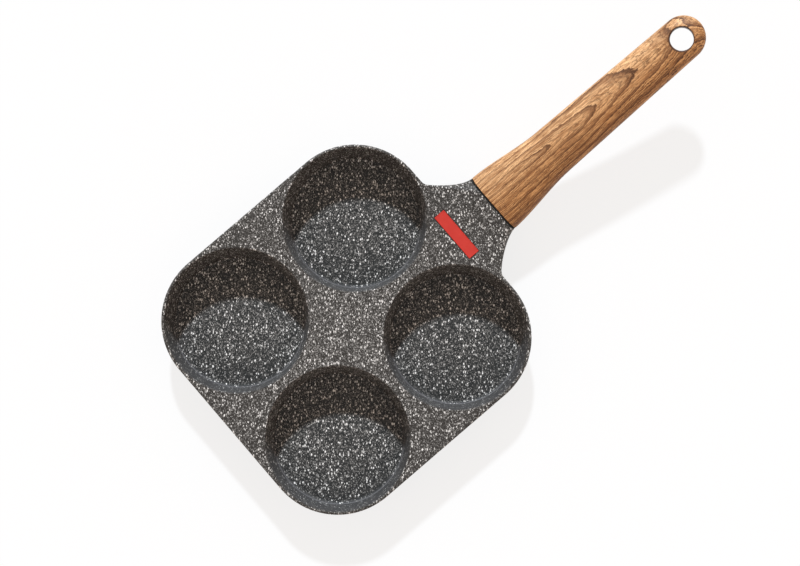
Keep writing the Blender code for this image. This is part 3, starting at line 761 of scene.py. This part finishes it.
def makeNeck():
    half, rounding = pan["half"], neck["endRounding"]
    rings = [neckRing(half - before, sink=neck["sink"])
             for before in spaced(neck["sunkSteps"], neck["bury"], neck["sunkTo"])]
    rings += [neckRing(half - before) for before in neck["rises"]]
    rings += [neckRing(half + (neck["length"] - rounding) * share ** neck["stepGrowth"])
              for share in spaced(neck["steps"], 0.0, 1.0)[1:]]
    rings += [neckRing(neck["jointX"] - rounding * (1 - sin(turn)), rounding * (1 - cos(turn)))
              for turn in spaced(neck["endSteps"])[1:]]
    return loft(4 * (neck["sectionSteps"] + 1), rings)


def makePocket(side):
    first = pan["half"] + neck["wall"]
    last = neck["jointX"] - neck["endWall"]
    below, steps = neck["pocketBelow"], neck["pocketSectionSteps"]

    def ring(x):
        width = neckHalfWidth(x) - neck["wall"] - neck["rib"] / 2
        depth = neckHeight(x) - neck["wall"] + below
        middle = side * (neck["rib"] + width) / 2

        def place(number):
            across, up = sectionPoint(number, steps, width / 2, depth / 2, neck["pocketRounding"],
                                      neck["pocketRounding"])
            return neckPoint(x, middle + across, up - (neck["wall"] + below) / 2)
        return place

    return loft(4 * (steps + 1), [ring(x) for x in spaced(neck["pocketSteps"], first, last)])


badge = {
    "length": 33.0, "width": 7.6, "thickness": 1.0, "proud": 0.3, "fromEdge": 4.9, "gap": 0.3,
    "rounding": 0.22, "segments": 4, "border": 0.55, "borderEdge": 0.12, "borderDepth": 0.08,
    "cutAbove": 2.0, "sharp": 40.0,
}


def badgeCorners(growth, low, high):
    middle = Vector((pan["half"] - badge["fromEdge"], 0.0))
    reach = Vector((badge["width"] / 2 + growth, badge["length"] / 2 + growth))
    return (*(middle - reach), low), (*(middle + reach), high)


def makeBadge(material):
    top = deckTop + badge["proud"]
    corners = badgeCorners(0.0, top - badge["thickness"], top)
    shape = block(*corners, badge["rounding"], badge["segments"])
    face = max(shape.faces, key=lambda item: item.calc_center_median().z)
    for thickness, depth in ((badge["border"], 0.0), (badge["borderEdge"], -badge["borderDepth"]),
                             (badge["borderEdge"], 0.0)):
        bmesh.ops.inset_region(shape, faces=[face], thickness=thickness, depth=depth)
    faceOutwards(shape)
    finishPiece(objectFrom(shape, "badgePlate"), material, ["badge"], badge["sharp"])


def makeBody(material):
    quarter = makeQuarter()
    for axis in ("X", "Y"):
        mirror(quarter, axis)
    weld(quarter)
    faceOutwards(quarter)
    body = objectFrom(quarter, "panBody")
    combine(body, makeNeck(), "UNION")
    tenon = block(*neck["tenon"], neck["tenonRounding"])
    tenon.transform(handleFrame)
    combine(body, tenon, "UNION")
    for side in (1, -1):
        combine(body, makePocket(side))
    radius, top, low = neck["holeRadius"], neck["holeTop"], neck["holeLow"]
    hole = turned([(0.0, top), (radius, top), (radius, low), (0.0, low)], neck["holeSteps"])
    hole.transform(screwFrame)
    combine(body, hole)
    low = deckTop + badge["proud"] - badge["thickness"] - badge["gap"]
    combine(body, block(*badgeCorners(badge["gap"], low, deckTop + badge["cutAbove"])))
    finishPiece(body, material, ["pan_body"])


disc = {
    "radius": 33.13, "thickness": 0.8, "chamfer": 0.2, "topEdge": 0.1, "steps": 144, "sharp": 25.0,
    "grooves": (7.0, 12.0, 17.0, 22.0, 27.0, 30.5), "grooveWidth": 0.45, "grooveDepth": 0.2,
}


def makeDiscs(material):
    radius, high = disc["radius"], disc["thickness"]
    width, depth = disc["grooveWidth"], disc["grooveDepth"]
    chamfer, edge = disc["chamfer"], disc["topEdge"]
    profile = [(0.0, 0.0)]
    for groove in disc["grooves"]:
        profile += [(groove - width, 0.0), (groove - width / 2, depth),
                    (groove + width / 2, depth), (groove + width, 0.0)]
    profile += [(radius - chamfer, 0.0), (radius, chamfer), (radius, high - edge),
                (radius - edge, high), (0.0, high)]
    for number in range(1, 5):
        shape = turned(profile, disc["steps"])
        node = f"base_disc_{number}"
        middle = middleOf(node)
        move(shape, ((middle.x - panX) / mm, middle.y / mm, 0.0))
        piece = objectFrom(shape, f"baseDisc{number}")
        finishPiece(piece, material, [node], disc["sharp"])


handle = {
    "start": 1.1, "end": 166.9, "droop": 6.0, "rootWidth": 40.5, "rootHeight": 19.0,
    "flareLength": 48.0, "gripWidth": 32.6, "gripHeight": 17.0, "endWidth": 27.2, "endHeight": 14.5,
    "corner": 0.62, "side": 0.88, "cornerOver": 12.0, "thinFrom": 146.0, "thinOver": 21.0,
    "endThinning": 0.16, "faceRounding": 0.45, "faceSteps": 3,
    "holeRadius": 7.2, "holeFromEnd": 14.8, "holeRounding": 0.9, "joinBefore": 16.0,
    "cornerSteps": 9, "flatSteps": 4, "sideSteps": 14, "arcSteps": 48, "rowStep": 4.0,
    "holeRings": 11, "ringSpread": radians(76.0), "rimSteps": 5, "holeShares": (0.5, 0.0),
    # how the sides' lower edges are told from the rest
    "sideAbove": 0.05, "faceWithin": 0.01,
    "socket": ((-2.0, -12.3, -1.625), (27.5, 12.3, 6.1)), "washerRadius": 5.3,
    "washerSeat": -3.925, "screwRadius": 2.8, "wellChamfer": 0.5, "wellOver": 1.0, "wellSteps": 72,
}
handle["roundAt"] = handle["end"] - handle["endWidth"] / 2
handle["holeAt"] = handle["end"] - handle["holeFromEnd"]
handle["joinAt"] = handle["holeAt"] - handle["joinBefore"]


def handleSize(along, root, grip, end):
    out = along - handle["start"]
    share = min(out / (handle["roundAt"] - handle["start"]), 1.0)
    extra = (root - grip) * (1 - smoothStep(out / handle["flareLength"]))
    left = max(1 - out / handle["faceRounding"], 0.0)
    drawnIn = handle["faceRounding"] * (1 - sqrt(max(1 - left * left, 0.0)))
    return (mix(grip, end, share) + extra) / 2 - drawnIn


def halfWidthAt(along):
    return handleSize(along, handle["rootWidth"], handle["gripWidth"], handle["endWidth"])


def halfHeightAt(along):
    return handleSize(along, handle["rootHeight"], handle["gripHeight"], handle["endHeight"])


def topAt(along, across):
    # height of the handle's top above its middle, from how far the point lies inside the outline
    inside = halfWidthAt(along) - abs(across)
    if along > handle["roundAt"]:
        inside = handle["endWidth"] / 2 - hypot(along - handle["roundAt"], across)
    thinned = smoothStep((along - handle["thinFrom"]) / handle["thinOver"])
    halfHeight = halfHeightAt(along) * (1 - handle["endThinning"] * thinned)
    cornerWidth = mix(halfWidthAt(along) * handle["corner"], handle["endWidth"] / 2,
                      smoothStep((along - handle["roundAt"]) / handle["cornerOver"]))
    share = min(max(inside / cornerWidth, 0.0), 1.0)
    corner = halfHeight * handle["side"]
    return halfHeight - corner + corner * sqrt(1 - (1 - share) ** 2)


def columnAt(along, number):
    # place across for each of the columns, close together on the rounded corners
    steps = handle["cornerSteps"]
    across = abs(number)
    corner = halfWidthAt(along) * handle["corner"]
    flat = halfWidthAt(along) - corner
    if across <= handle["flatSteps"]:
        place = flat * across / handle["flatSteps"]
    else:
        place = flat + corner * sin((across - handle["flatSteps"]) / steps * pi / 2)
    return place if number >= 0 else -place


def bend(point):
    # droops the straight handle about its axis
    length = handle["end"] - handle["start"]
    share = (point.x - handle["start"]) / length
    tilt = atan(2 * handle["droop"] * share / length)
    return Vector((point.x + point.z * sin(tilt), point.y,
                   point.z * cos(tilt) - handle["droop"] * share * share))


def makeHandleShell():
    # the upper half of the handle, flat in plan first and lifted by topAt, mirrored below
    shape = newShape()
    number = shape.verts.layers.int["number"]
    columns = handle["flatSteps"] + handle["cornerSteps"]
    start, join, roundAt = handle["start"], handle["joinAt"], handle["roundAt"]

    def lifted(along, across):
        return Vector((along, across, topAt(along, across)))

    line = []
    for column in range(-columns, columns + 1):
        line.append(shape.verts.new(lifted(start, columnAt(start, column))))
        line[-1][number] = column
    row = [shape.edges.new(pair) for pair in zip(line, line[1:])]
    stations = [start + handle["faceRounding"] * (1 - cos(turn))
                for turn in spaced(handle["faceSteps"])[1:]]
    rows = round((join - stations[-1]) / handle["rowStep"])
    stations += spaced(rows, stations[-1], join)[1:]
    for along in stations:
        row = pull(shape, row, lambda column: lifted(along, columnAt(along, column)))

    # the outer ring of the end: the joining line, both sides and the round end
    joined = sorted({vert for edge in row for vert in edge.verts}, key=lambda vert: vert.co.y)
    radius = handle["endWidth"] / 2
    side = [(along, halfWidthAt(along)) for along in spaced(handle["sideSteps"], join, roundAt)[1:]]
    path = list(side)
    path += [(roundAt + radius * cos(turn), radius * sin(turn))
             for turn in spaced(handle["arcSteps"], pi / 2, -pi / 2)[1:-1]]
    path += [(along, -across) for along, across in reversed(side)]
    outer = [shape.verts.new(lifted(along, across)) for along, across in path]
    ring = row + [shape.edges.new(pair) for pair in zip([joined[-1]] + outer, outer + [joined[0]])]
    corners = []
    for place, vert in enumerate(joined + outer):
        vert[number] = place
        corners.append(vert.co.to_2d())

    # rings inwards to the hanging hole, over its rounded rim and down to the middle
    hole = Vector((handle["holeAt"], 0.0))
    rounding, spread = handle["holeRounding"], handle["ringSpread"]
    rimRadius = handle["holeRadius"] + rounding

    def roundHole(place, radius):
        return hole + (corners[place] - hole).normalized() * radius

    def rimTop(place):
        return topAt(*roundHole(place, rimRadius))

    for turn in spaced(handle["holeRings"], 0.0, spread)[1:]:
        share = (1 - cos(turn)) / (1 - cos(spread))
        ring = pull(shape, ring, lambda place: lifted(
            *corners[place].lerp(roundHole(place, rimRadius), share)))
    for turn in spaced(handle["rimSteps"])[1:]:
        ring = pull(shape, ring, lambda place: Vector((
            *roundHole(place, rimRadius - rounding * sin(turn)),
            rimTop(place) - rounding * (1 - cos(turn)))))
    for share in handle["holeShares"]:
        ring = pull(shape, ring, lambda place: Vector((
            *roundHole(place, handle["holeRadius"]), share * (rimTop(place) - rounding))))

    # the side's flat, down to the middle; the front face is closed after mirroring
    sideEdges = [edge for edge in shape.edges if edge.is_boundary
                 and all(vert.co.z > handle["sideAbove"] for vert in edge.verts)
                 and not all(vert.co.x < start + handle["faceWithin"] for vert in edge.verts)]
    for item in bmesh.ops.extrude_edge_only(shape, edges=sideEdges)["geom"]:
        if isinstance(item, bmesh.types.BMVert):
            item.co.z = 0.0
    mirror(shape, "Z")
    weld(shape)
    bmesh.ops.holes_fill(shape, edges=[edge for edge in shape.edges if edge.is_boundary])
    faceOutwards(shape)
    for vert in shape.verts:
        vert.co = bend(vert.co)
    return shape


def makeHandle(material):
    piece = objectFrom(makeHandleShell(), "woodHandle")
    combine(piece, block(*handle["socket"]))
    seat, chamfer, over = handle["washerSeat"], handle["wellChamfer"], handle["wellOver"]
    well, bore = handle["washerRadius"], handle["screwRadius"]
    low = -handle["rootHeight"] / 2
    for profile in (
        [(0.0, seat), (well, seat), (well, low + chamfer), (well + chamfer + over, low - over),
         (0.0, low - over)],
        [(0.0, 0.0), (bore, 0.0), (bore, low), (0.0, low)],
    ):
        cutter = turned(profile, handle["wellSteps"])
        move(cutter, (neck["screwAt"], 0.0, 0.0))
        combine(piece, cutter)
    piece.data.transform(handleFrame)
    finishPiece(piece, material, ["handle"])


gasket = {"start": 0.3, "end": 0.8, "inset": 0.12, "edge": 0.1, "steps": 12}


def makeGasket(material):
    def ring(along, inset):
        def place(number):
            width = neck["endWidth"] / 2 - inset
            height = neck["endHeight"] / 2 - inset
            across, up = sectionPoint(number, gasket["steps"], width, height,
                                      width * neck["corner"], height * neck["side"])
            return Vector((along, across, up))
        return place

    first, last, inset, edge = (gasket[key] for key in ("start", "end", "inset", "edge"))
    rings = [ring(first, inset + edge), ring(first + edge, inset), ring(last - edge, inset),
             ring(last, inset + edge)]
    piece = objectFrom(loft(4 * (gasket["steps"] + 1), rings), "handleGasket")
    combine(piece, block(*handle["socket"]))
    piece.data.transform(handleFrame)
    finishPiece(piece, material, ["handle_gasket"])


screw = {
    "headLow": -8.725, "headHeight": 2.3, "headRadius": 4.4, "headRounding": 0.8, "headSteps": 5,
    "headEdge": 0.15, "shank": 2.5, "plain": 2.0, "root": 2.05, "pitch": 0.8, "threadEnd": 4.0,
    "tip": 4.5, "cross": (4.6, 1.1, 1.3), "crossRounding": 0.15, "crossSegments": 2,
    "crossBelow": 1.0, "steps": 72,
}
washers = {
    "bore": 2.8, "edge": 0.08, "springLow": -6.125, "springHeight": 1.0, "springRadius": 4.4,
    "springSection": 0.82, "springTurn": radians(350.0), "springSteps": 70,
    "flatLow": -4.825, "flatThickness": 0.6, "flatRadius": 5.0, "flatEdge": 0.12, "flatSteps": 96,
    # edges sharper than this stay crisp on the screw and both washers
    "sharp": 28.0,
}


def makeScrew():
    low, high = screw["headLow"], screw["headLow"] + screw["headHeight"]
    radius, rounding, edge = screw["headRadius"], screw["headRounding"], screw["headEdge"]
    shank, root, pitch, tip = screw["shank"], screw["root"], screw["pitch"], screw["tip"]
    profile = [(0.0, low)]
    profile += [(radius - rounding * (1 - sin(turn)), low + rounding * (1 - cos(turn)))
                for turn in spaced(screw["headSteps"])]
    height = high + screw["plain"]
    profile += [(radius, high - edge), (radius - edge, high), (shank, high), (shank, height)]
    while height + pitch < screw["threadEnd"]:
        profile += [(root, height + pitch / 2), (shank, height + pitch)]
        height += pitch
    profile += [(root, tip), (0.0, tip)]
    piece = objectFrom(turned(profile, screw["steps"]), "handleScrew")
    length, width, depth = screw["cross"]
    for x, y in ((length, width), (width, length)):
        arm = block((-x / 2, -y / 2, low - screw["crossBelow"]), (x / 2, y / 2, low + depth),
                    screw["crossRounding"], screw["crossSegments"])
        combine(piece, arm)
    return piece


def washerProfile(outer, low, thickness, edge):
    # from the bore's lower edge round to its upper edge, with a small chamfer at each corner
    inner, small, high = washers["bore"], washers["edge"], low + thickness
    return [(inner, low + small), (inner + small, low), (outer - edge, low), (outer, low + edge),
            (outer, high - edge), (outer - edge, high), (inner + small, high),
            (inner, high - small)]


def makeFixings(material):
    pieces = {"handle_screw": makeScrew()}
    section = washers["springSection"]
    ring = washerProfile(washers["springRadius"], washers["springLow"], section, washers["edge"])
    spring = turned(ring, washers["springSteps"], washers["springTurn"],
                    washers["springHeight"] - section)
    pieces["spring_washer"] = objectFrom(spring, "springWasher")
    ring = washerProfile(washers["flatRadius"], washers["flatLow"], washers["flatThickness"],
                         washers["flatEdge"])
    flat = turned(ring + ring[:1], washers["flatSteps"])
    pieces["flat_washer"] = objectFrom(flat, "flatWasher")
    for node, piece in pieces.items():
        piece.data.transform(screwFrame)
        finishPiece(piece, material, [node], washers["sharp"])


makeBody(makeCoating())
makeDiscs(makeSteel())
makeBadge(makeFinish("redBadge", Specular_IOR_Level=0.3))
makeHandle(makeWood())
makeGasket(makeFinish("blackGasket", Roughness=0.7, Specular_IOR_Level=0.2))
makeFixings(makeFinish("platedSteel", Metallic=1.0))


stage = {
    "floorSize": 8.0, "floorShow": 0.2, "floorColour": (0.955, 0.965, 0.98, 1.0),
    "white": (1.0, 1.0, 1.0, 1.0), "sunStrength": 2.95, "sunAngle": radians(3.5),
    "sunColour": (0.905, 1.0, 1.085), "sunTurn": radians(54.4), "sunHeight": radians(39.5),
    "fill": 0.43, "fillColour": (1.23, 1.0, 0.84),
}


def makeFloor():
    shape = bmesh.new()
    bmesh.ops.create_grid(shape, x_segments=8, y_segments=8, size=stage["floorSize"] / 2)
    floor = objectFrom(shape, "paleFloor")
    material = bpy.data.materials.new("paleFloor")
    openTree(material)
    tree.nodes.clear()
    plain = addNode("BsdfDiffuse", Color=stage["floorColour"]).outputs[0]
    white = addNode("Emission", Color=stage["white"], Strength=1.0).outputs[0]
    path = addNode("LightPath").outputs
    seen = maths("MAXIMUM", path["Is Camera Ray"], path["Is Glossy Ray"])
    share = times(seen, 1 - stage["floorShow"])
    face = addNode("MixShader", i0=share, i1=plain, i2=white).outputs[0]
    back = addNode("NewGeometry").outputs["Backfacing"]
    clear = addNode("BsdfTransparent").outputs[0]
    whole = addNode("MixShader", i0=back, i1=face, i2=clear).outputs[0]
    addNode("OutputMaterial", Surface=whole)
    floor.data.materials.append(material)


def makeLight():
    lamp = bpy.data.lights.new("softKey", "SUN")
    lamp.energy = stage["sunStrength"]
    lamp.angle = stage["sunAngle"]
    lamp.color = stage["sunColour"]
    key = addObject("softKey", lamp)
    key.rotation_euler = (0.0, pi / 2 - stage["sunHeight"], stage["sunTurn"])
    world = bpy.data.worlds.new("paleWorld")
    bpy.context.scene.world = world
    openTree(world)
    path = addNode("LightPath").outputs
    seen = maths("MAXIMUM", path["Is Glossy Ray"], path["Is Transmission Ray"])
    seen = maths("MAXIMUM", path["Is Camera Ray"], seen)
    fill = tuple(stage["fill"] * part for part in stage["fillColour"]) + (1.0,)
    wire(tree.nodes["Background"], Color=blendColour(seen, fill, stage["white"]))


camera = {
    "distance": 1.3, "lens": 95.69, "clipStart": 0.05, "turn": (-2.92, -0.2, 40.62),
    "shift": (-0.03283, -0.0280),
}


def makeCamera():
    data = bpy.data.cameras.new("camera")
    data.lens = camera["lens"]
    data.clip_start = camera["clipStart"]
    rotation = Matrix.Identity(3)
    for angle, axis in zip(camera["turn"], "XYZ"):
        rotation = rotation @ Matrix.Rotation(radians(angle), 3, axis)
    across, up = camera["shift"]
    spot = rotation.transposed() @ Vector((-across, -up, camera["distance"]))
    spot += Vector((panX, 0.0, deckTop * mm))
    item = addObject("camera", data)
    item.matrix_world = Matrix.Translation(spot) @ rotation.transposed().to_4x4()
    bpy.context.scene.camera = item


makeFloor()
makeLight()
makeCamera()
bpy.context.scene.view_settings.view_transform = "Standard"
print("floor, lights and camera ready")
